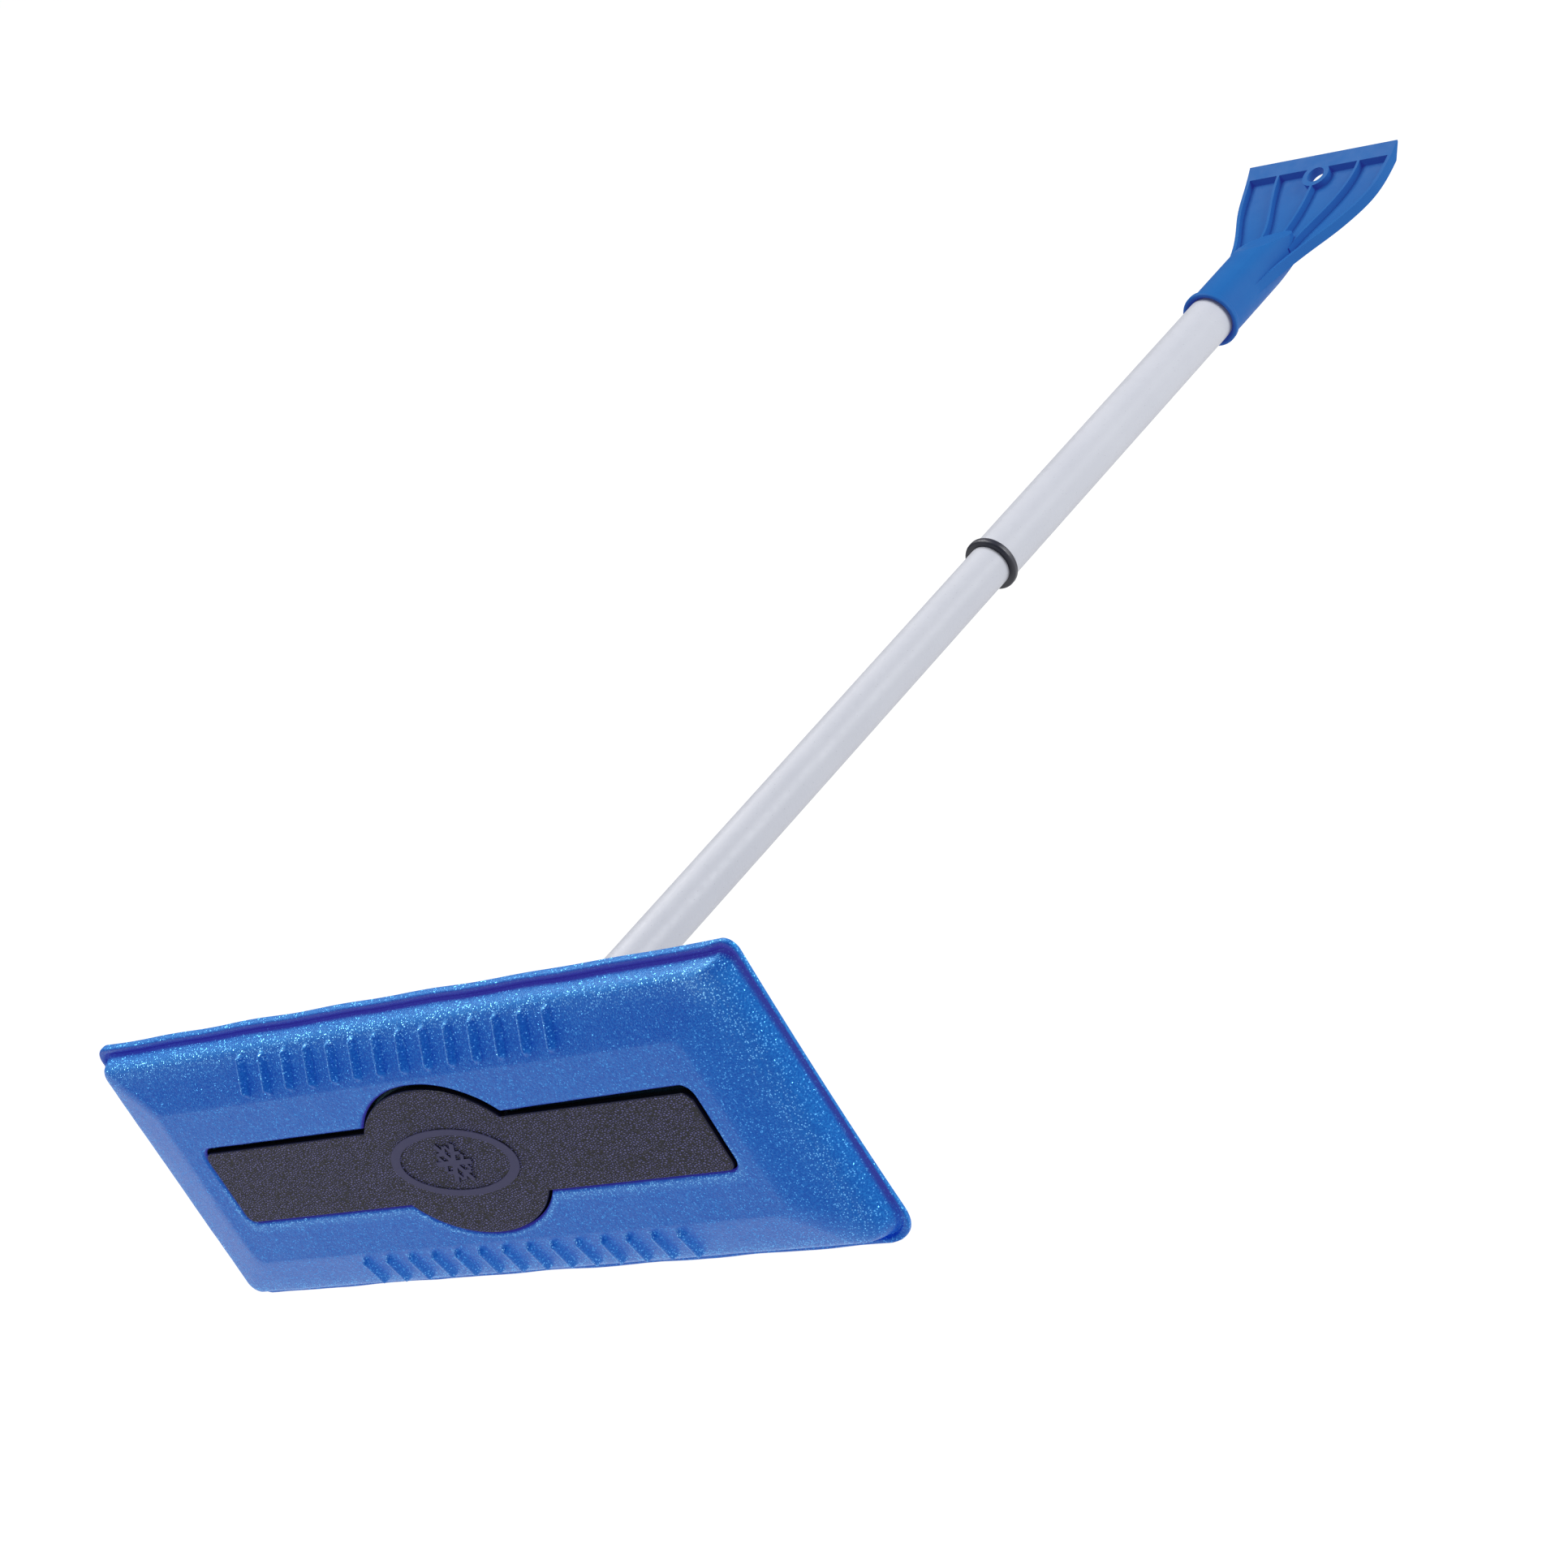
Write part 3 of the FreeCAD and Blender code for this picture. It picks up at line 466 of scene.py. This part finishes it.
def rounded_copy(node, name, width, material, body):
    """A CAD node's shape with its sharp edges slightly rounded."""
    mesh = nodes[node].data.copy()
    welded = bmesh.new()
    welded.from_mesh(mesh)
    bmesh.ops.remove_doubles(welded, verts=welded.verts, dist=0.002 * MM)
    welded.to_mesh(mesh)
    welded.free()
    mesh.name = name
    piece = new_object(name, mesh, material, body)
    bevel = piece.modifiers.new("round", "BEVEL")
    bevel.width = width * MM
    bevel.segments = 2
    bevel.limit_method = "ANGLE"
    bevel.angle_limit = math.radians(38)
    normals = piece.modifiers.new("normals", "WEIGHTED_NORMAL")
    normals.keep_sharp = True
    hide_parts(node)
    return piece


def make_spring(material):
    """The leaf spring, as a rounded copy on a mesh of its own; the button presses the real one flatter.
    """
    piece = rounded_copy("button_spring", "leaf_spring", 0.1, material,
                         "head_and_inner_pole")
    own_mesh(piece)


# ---- materials ---------------------------------------------------------------------------------------
class Surface:
    """A procedural material, built node by node on the object's own coordinates."""

    def __init__(self, name, roughness=0.5, metallic=0.0):
        self.material = bpy.data.materials.new(name)
        self.material.use_nodes = True
        self.tree = self.material.node_tree
        self.shader = self.tree.nodes["Principled BSDF"]
        self.place = self.add("ShaderNodeTexCoord").outputs["Object"]
        self.shader.inputs["Roughness"].default_value = roughness
        self.shader.inputs["Metallic"].default_value = metallic

    def add(self, kind, **settings):
        node = self.tree.nodes.new(kind)
        for name, value in settings.items():
            setattr(node, name, value)
        return node

    def put(self, socket, value):
        """Sets a socket to a number or colour, or links it to another node's output."""
        if isinstance(value, bpy.types.NodeSocket):
            self.tree.links.new(value, socket)
        else:
            socket.default_value = value

    def shape(self, name, value):
        """Sets or links one of the shader's own sockets."""
        self.put(self.shader.inputs[name], value)

    def stretched(self, factors):
        """The coordinates, scaled along each axis."""
        node = self.add("ShaderNodeMapping")
        self.put(node.inputs["Vector"], self.place)
        node.inputs["Scale"].default_value = factors
        return node.outputs["Vector"]

    def noise(self, size_mm, detail=2.0, roughness=0.5, place=None):
        """Smooth noise between 0 and 1 whose spots are about size_mm wide."""
        node = self.add("ShaderNodeTexNoise")
        self.put(node.inputs["Vector"], place or self.place)
        node.inputs["Scale"].default_value = 1 / (size_mm * MM)
        node.inputs["Detail"].default_value = detail
        node.inputs["Roughness"].default_value = roughness
        return node.outputs["Fac"]

    def cells(self, size_mm, feature="F1", place=None):
        """Voronoi cells about size_mm wide."""
        node = self.add("ShaderNodeTexVoronoi", feature=feature)
        self.put(node.inputs["Vector"], place or self.place)
        node.inputs["Scale"].default_value = 1 / (size_mm * MM)
        return node

    def math(self, operation, a, b=0.0):
        node = self.add("ShaderNodeMath", operation=operation)
        self.put(node.inputs[0], a)
        self.put(node.inputs[1], b)
        return node.outputs[0]

    def between(self, value, low, high, to_low=0.0, to_high=1.0):
        """value's range from low to high, clamped and spread over to_low to to_high."""
        node = self.add("ShaderNodeMapRange", interpolation_type="SMOOTHSTEP")
        for name, number in (("Value", value), ("From Min", low), ("From Max", high),
                             ("To Min", to_low), ("To Max", to_high)):
            self.put(node.inputs[name], number)
        return node.outputs["Result"]

    def mix(self, share, first, second):
        """A colour between two colours."""
        node = self.add("ShaderNodeMix", data_type="RGBA")
        self.put(node.inputs["Factor"], share)
        self.put(node.inputs["A"], first)
        self.put(node.inputs["B"], second)
        return node.outputs["Result"]

    def axis(self, name):
        """One coordinate of the object, in metres."""
        node = self.add("ShaderNodeSeparateXYZ")
        self.put(node.inputs["Vector"], self.place)
        return node.outputs[name]

    def bump(self, height, depth_mm, strength=1.0, normal=None):
        """A normal that follows a height, with the given depth for a height of 1."""
        node = self.add("ShaderNodeBump")
        self.put(node.inputs["Height"], height)
        node.inputs["Distance"].default_value = depth_mm * MM
        node.inputs["Strength"].default_value = strength
        if normal is not None:
            self.put(node.inputs["Normal"], normal)
        return node.outputs["Normal"]


def rgb(red, green, blue):
    """A linear colour from 0-255 sRGB values."""
    def linear(value):
        value /= 255
        return value / 12.92 if value <= 0.04045 else ((value + 0.055) / 1.055) ** 2.4
    return (linear(red), linear(green), linear(blue), 1.0)


def foam_material():
    """Pearly blue moulded foam with fine bright flecks, with painted shade in its groove and recess,
    painted highlights where it shines, and a painted deep blue glow.
    """
    s = Surface("pearly_foam")
    # painted shade, painted deep shadow and painted highlights, carried by the foam's attributes
    shade = s.add("ShaderNodeAttribute", attribute_name="shade").outputs["Fac"]
    dark = s.add("ShaderNodeAttribute", attribute_name="dark").outputs["Fac"]
    glint = s.add("ShaderNodeAttribute", attribute_name="glint").outputs["Fac"]
    base = s.mix(s.noise(30, 3.0), (0.008, 0.078, 0.185, 1), (0.011, 0.096, 0.22, 1))
    fine = s.mix(s.between(s.noise(1.0, 2.0), 0.42, 0.64), base, (0.018, 0.150, 0.31, 1))
    # painted highlight: the colour lightens where glint is set
    lifted = s.mix(s.math("MULTIPLY", glint, 0.36), fine, (0.06, 0.25, 0.42, 1))
    # painted shade: deep violet blue in the groove and on the recess's lip, near black deep in the
    # recess
    deep = s.mix(dark, s.mix(shade, lifted, (0.03, 0.026, 0.16, 1)), (0.002, 0.002, 0.004, 1))
    fleck_mm = 0.85
    plain_limit = 0.70          # of all cells, this share has no fleck
    glint_change = 0.44         # and this much less where the foam shines
    fleck = s.cells(fleck_mm)
    parts = s.add("ShaderNodeSeparateColor")
    s.put(parts.inputs[0], fleck.outputs["Color"])
    # painted highlight: more of the cells get a fleck where glint is set
    rare = s.math("SUBTRACT", plain_limit, s.math("MULTIPLY", glint, glint_change))
    chosen = s.between(parts.outputs[0], rare, s.math("ADD", rare, 0.10))
    round_spot = s.between(fleck.outputs["Distance"], 0.30, 0.50, 1.0, 0.0)
    # fewer flecks in painted shade
    mask = s.math("MULTIPLY", s.math("MULTIPLY", chosen, round_spot), s.between(shade, 0, 1, 1.0, 0.25))
    # painted highlight: flecks are lighter where glint is set
    bright = s.mix(glint, (0.12, 0.45, 0.74, 1), (0.32, 0.74, 0.95, 1))
    s.shape("Base Color", s.mix(s.math("MULTIPLY", mask, 0.9), deep, bright))
    s.shape("Metallic", s.math("MULTIPLY", mask, 0.5))
    s.shape("Roughness", s.between(mask, 0, 1, 0.38, 0.20))
    tilt = s.add("ShaderNodeVectorMath", operation="SUBTRACT")
    s.put(tilt.inputs[0], fleck.outputs["Color"])
    tilt.inputs[1].default_value = (0.5, 0.5, 0.5)
    lean = s.add("ShaderNodeVectorMath", operation="SCALE")
    s.put(lean.inputs[0], tilt.outputs[0])
    s.put(lean.inputs["Scale"], s.math("MULTIPLY", mask, 1.1))
    pores = s.bump(s.noise(0.9, 3.0, 0.6), 0.26)
    turned = s.add("ShaderNodeVectorMath", operation="ADD")
    s.put(turned.inputs[0], lean.outputs[0])
    s.put(turned.inputs[1], pores)
    unit = s.add("ShaderNodeVectorMath", operation="NORMALIZE")
    s.put(unit.inputs[0], turned.outputs[0])
    s.shape("Normal", unit.outputs[0])
    s.shape("IOR", 1.6)
    s.shape("Specular IOR Level", 0.5)
    s.shape("Specular Tint", (0.05, 0.62, 1.0, 1))
    s.shape("Sheen Weight", 0.04)
    s.shape("Sheen Roughness", 0.3)
    s.shape("Sheen Tint", rgb(205, 220, 250))
    # painted glow: a deep blue emission lifts the foam's shadows, violet in painted shade, none deep in
    # the recess
    glow = s.mix(shade, (0.0, 0.01, 1.0, 1), (0.08, 0.07, 0.85, 1))
    s.shape("Emission Color", s.mix(dark, glow, (0, 0, 0, 1)))
    s.shape("Emission Strength", 0.22)
    return s.material


def plate_material():
    """Black plastic with a pebble grain on its face, and smooth walls and relief."""
    s = Surface("grained_plate")
    warped = s.add("ShaderNodeVectorMath", operation="ADD")
    wander = s.add("ShaderNodeVectorMath", operation="SCALE")
    bending = s.add("ShaderNodeTexNoise")
    s.put(bending.inputs["Vector"], s.place)
    bending.inputs["Scale"].default_value = 1 / (9 * MM)
    s.put(wander.inputs[0], bending.outputs["Color"])
    wander.inputs["Scale"].default_value = 0.6 * MM
    turned = s.add("ShaderNodeMapping")
    s.put(turned.inputs["Vector"], s.place)
    turned.inputs["Rotation"].default_value = (0, math.radians(28), 0)
    turned.inputs["Scale"].default_value = (0.72, 1.0, 1.25)
    s.put(warped.inputs[0], turned.outputs["Vector"])
    s.put(warped.inputs[1], wander.outputs[0])
    grain = s.cells(1.3, "DISTANCE_TO_EDGE", warped.outputs[0])
    grain.inputs["Randomness"].default_value = 0.8
    pebble = s.between(grain.outputs["Distance"], 0.06, 0.34)
    face = s.math("MULTIPLY", s.between(s.axis("Y"), -0.35 * MM, -0.2 * MM),
                  s.between(s.axis("Y"), 0.02 * MM, 0.3 * MM, 1.0, 0.0))
    height = s.math("MULTIPLY", pebble, face)
    grained = s.mix(pebble, rgb(0, 0, 6), rgb(98, 97, 152))
    smooth = rgb(54, 53, 92)
    wall = rgb(14, 13, 18)
    side = s.between(s.axis("Y"), 0.06 * MM, 0.4 * MM)
    s.shape("Base Color", s.mix(side, s.mix(face, smooth, grained), wall))
    drift = s.math("MULTIPLY", s.noise(6, 3), 0.06)
    s.shape("Roughness", s.math("ADD", s.between(side, 0, 1, 0.50, 0.24), drift))
    s.shape("Normal", s.bump(height, 0.5))
    s.shape("Specular IOR Level", 0.30)
    return s.material


def plastic_material(name, dark, light, roughness, grain_mm, depth_mm, specular=0.5, glow=0.0):
    """Moulded plastic with slight colour drift and a fine texture.

    A painted deep blue glow may lift its shadows.
    """
    s = Surface(name)
    s.shape("Base Color", s.mix(s.noise(18, 4.0), dark, light))
    s.shape("Roughness", s.between(s.noise(7, 4.0), 0.3, 0.7, roughness - 0.05, roughness + 0.06))
    s.shape("Normal", s.bump(s.noise(grain_mm, 2.0), depth_mm))
    s.shape("Specular IOR Level", specular)
    # painted glow, as strong as glow
    s.shape("Emission Color", (0.07, 0.10, 1.0, 1))
    s.shape("Emission Strength", glow)
    return s.material


def powder_coat_material():
    """Light grey powder coat: a faint orange peel and a few tiny dark specks."""
    s = Surface("powder_coat")
    speck = s.cells(3.2)
    spot = s.between(speck.outputs["Distance"], 0.045, 0.09, 1.0, 0.0)
    tone = s.mix(s.noise(40, 3.0), rgb(160, 162, 170), rgb(167, 169, 176))
    s.shape("Base Color", s.mix(s.math("MULTIPLY", spot, 0.55), tone, rgb(110, 112, 120)))
    s.shape("Roughness", s.between(s.noise(5, 3.0), 0.3, 0.7, 0.40, 0.50))
    s.shape("Normal", s.bump(s.noise(1.6, 2.0), 0.05))
    s.shape("Specular IOR Level", 0.35)
    return s.material


def steel_material(name, tone, roughness, brush_mm):
    """Plated steel with fine streaks."""
    s = Surface(name, metallic=1.0)
    streaks = s.noise(brush_mm, 4.0, 0.6, s.stretched((1.0, 0.08, 1.0)))
    s.shape("Base Color", s.mix(streaks, rgb(*(value - 22 for value in tone)), rgb(*tone)))
    s.shape("Roughness", s.between(streaks, 0.25, 0.75, roughness - 0.08, roughness + 0.1))
    s.shape("Normal", s.bump(streaks, 0.02))
    return s.material


def felt_material():
    """Dark felt, with a fibrous nap."""
    s = Surface("felt", 0.95)
    fibres = s.noise(0.5, 5.0, 0.8)
    s.shape("Base Color", s.mix(fibres, rgb(28, 28, 30), rgb(74, 74, 78)))
    s.shape("Normal", s.bump(fibres, 0.25))
    s.shape("Sheen Weight", 0.4)
    return s.material


def floor_material():
    """Plain pale studio floor that keeps shadows faint."""
    s = Surface("studio_floor", 0.9)
    s.shape("Base Color", s.mix(s.noise(900, 2.0), (0.05, 0.05, 0.05, 1), (0.07, 0.07, 0.07, 1)))
    s.shape("Emission Color", (1, 1, 1, 1))
    s.shape("Emission Strength", 1.0)
    s.shape("Specular IOR Level", 0.0)
    s.material.cycles.emission_sampling = "NONE"
    return s.material


def paint_cad_nodes(black, blue, spring):
    """Gives every CAD node that stays its material."""
    white = plastic_material("white_acetal", rgb(214, 213, 206), rgb(230, 229, 223), 0.45, 1.4, 0.02)
    coat = powder_coat_material()
    plated = steel_material("zinc_plated_steel", (196, 198, 202), 0.3, 0.6)
    plan = {
        coat: ("inner_tube", "outer_tube"),
        black: ("back_plate", "guide_collar", "tube_foot_plug", "tube_end_plug"),
        plate_material(): ("front_plate",),
        white: ("guide_sleeve", "lock_core", "lock_ring"),
        plated: ("plate_screws", "snap_button", "core_pins", "lock_washer", "lock_screw",
                 "scraper_screw"),
        spring: ("button_spring",),
        felt_material(): ("wiper_ring",),
        blue: ("scraper",),
    }
    for material, names in plan.items():
        for name in names:
            nodes[name].data.materials.clear()
            nodes[name].data.materials.append(material)


# ---- studio ------------------------------------------------------------------------------------------
CAMERA_PLACE = Vector((1.4863, -1.0417, 0.7049))
CAMERA_TARGET = Vector((0.0, 0.2942, 0.0041))
CAMERA_ROLL = math.radians(-31.475)
CAMERA_LENS = 97.05


def make_camera():
    """A long lens from the front right and above, rolled so that the pole points up and to the right."""
    data = bpy.data.cameras.new("camera")
    data.lens = CAMERA_LENS
    data.sensor_width = 36
    camera = bpy.data.objects.new("camera", data)
    bpy.context.scene.collection.objects.link(camera)
    aim = (CAMERA_TARGET - CAMERA_PLACE).to_track_quat("-Z", "Y").to_matrix().to_4x4()
    camera.matrix_world = Matrix.Translation(CAMERA_PLACE) @ aim @ Matrix.Rotation(CAMERA_ROLL, 4, "Z")
    bpy.context.scene.camera = camera


def make_lamp(name, place, target, size, power, tint):
    """A square soft box aimed at a target."""
    data = bpy.data.lights.new(name, "AREA")
    data.size = size
    data.energy = power
    data.color = tint
    lamp = bpy.data.objects.new(name, data)
    lamp.location = place
    lamp.rotation_mode = "QUATERNION"
    lamp.rotation_quaternion = (Vector(target) - Vector(place)).to_track_quat("-Z", "Y")
    bpy.context.scene.collection.objects.link(lamp)


def make_floor(material):
    """A wide floor under the head's lower edge."""
    reach = 30.0
    z = cad_low.z - 1 * MM
    mesh = bpy.data.meshes.new("studio_floor")
    mesh.from_pydata([(-reach, -reach, z), (reach, -reach, z), (reach, reach, z), (-reach, reach, z)],
                     [], [(0, 1, 2, 3)])
    mesh.materials.append(material)
    floor = bpy.data.objects.new("studio_floor", mesh)
    bpy.context.scene.collection.objects.link(floor)


def make_world():
    """Faint light from all round, and a white backdrop beyond the floor."""
    world = bpy.data.worlds.new("studio")
    world.use_nodes = True
    tree = world.node_tree
    ambient = tree.nodes["Background"]
    ambient.inputs["Color"].default_value = (0.93, 0.95, 1.0, 1)
    ambient.inputs["Strength"].default_value = 0.15
    backdrop = tree.nodes.new("ShaderNodeBackground")
    backdrop.inputs["Color"].default_value = (1, 1, 1, 1)
    seen = tree.nodes.new("ShaderNodeLightPath")
    choice = tree.nodes.new("ShaderNodeMixShader")
    tree.links.new(seen.outputs["Is Camera Ray"], choice.inputs[0])
    tree.links.new(ambient.outputs[0], choice.inputs[1])
    tree.links.new(backdrop.outputs[0], choice.inputs[2])
    tree.links.new(choice.outputs[0], tree.nodes["World Output"].inputs["Surface"])
    bpy.context.scene.world = world


def make_studio():
    make_world()
    make_floor(floor_material())
    middle = (0, 0.35, 0)
    make_lamp("top", (-0.9, 0.9, 2.4), middle, 1.8, 98, (1.0, 0.99, 0.98))
    make_lamp("glint", (-1.1, -0.9, 1.65), (0, 0, 0), 0.35, 12, (0.96, 0.98, 1.0))
    make_lamp("right", (2.6, 1.7, 0.9), middle, 1.6, 105, (0.97, 0.98, 1.0))
    make_camera()
    bpy.context.scene.view_settings.view_transform = "Standard"


# ---- build -------------------------------------------------------------------------------------------
black_plastic = plastic_material("black_plastic", rgb(27, 28, 38), rgb(37, 38, 50),
                                 roughness=0.40, grain_mm=0.9, depth_mm=0.03)
# painted glow: a deep blue emission lifts the scraper's shadows
blue_plastic = plastic_material("blue_plastic", rgb(10, 72, 112), rgb(14, 80, 119),
                                roughness=0.50, grain_mm=1.5, depth_mm=0.02, specular=0.08, glow=0.16)
spring_steel = steel_material("spring_steel", (150, 152, 158), 0.35, 0.5)
paint_cad_nodes(black_plastic, blue_plastic, spring_steel)
make_foam(foam_material())
rounded_copy("scraper", "ice_scraper", 0.4, blue_plastic, "outer_pole")
make_spring(spring_steel)
make_studio()
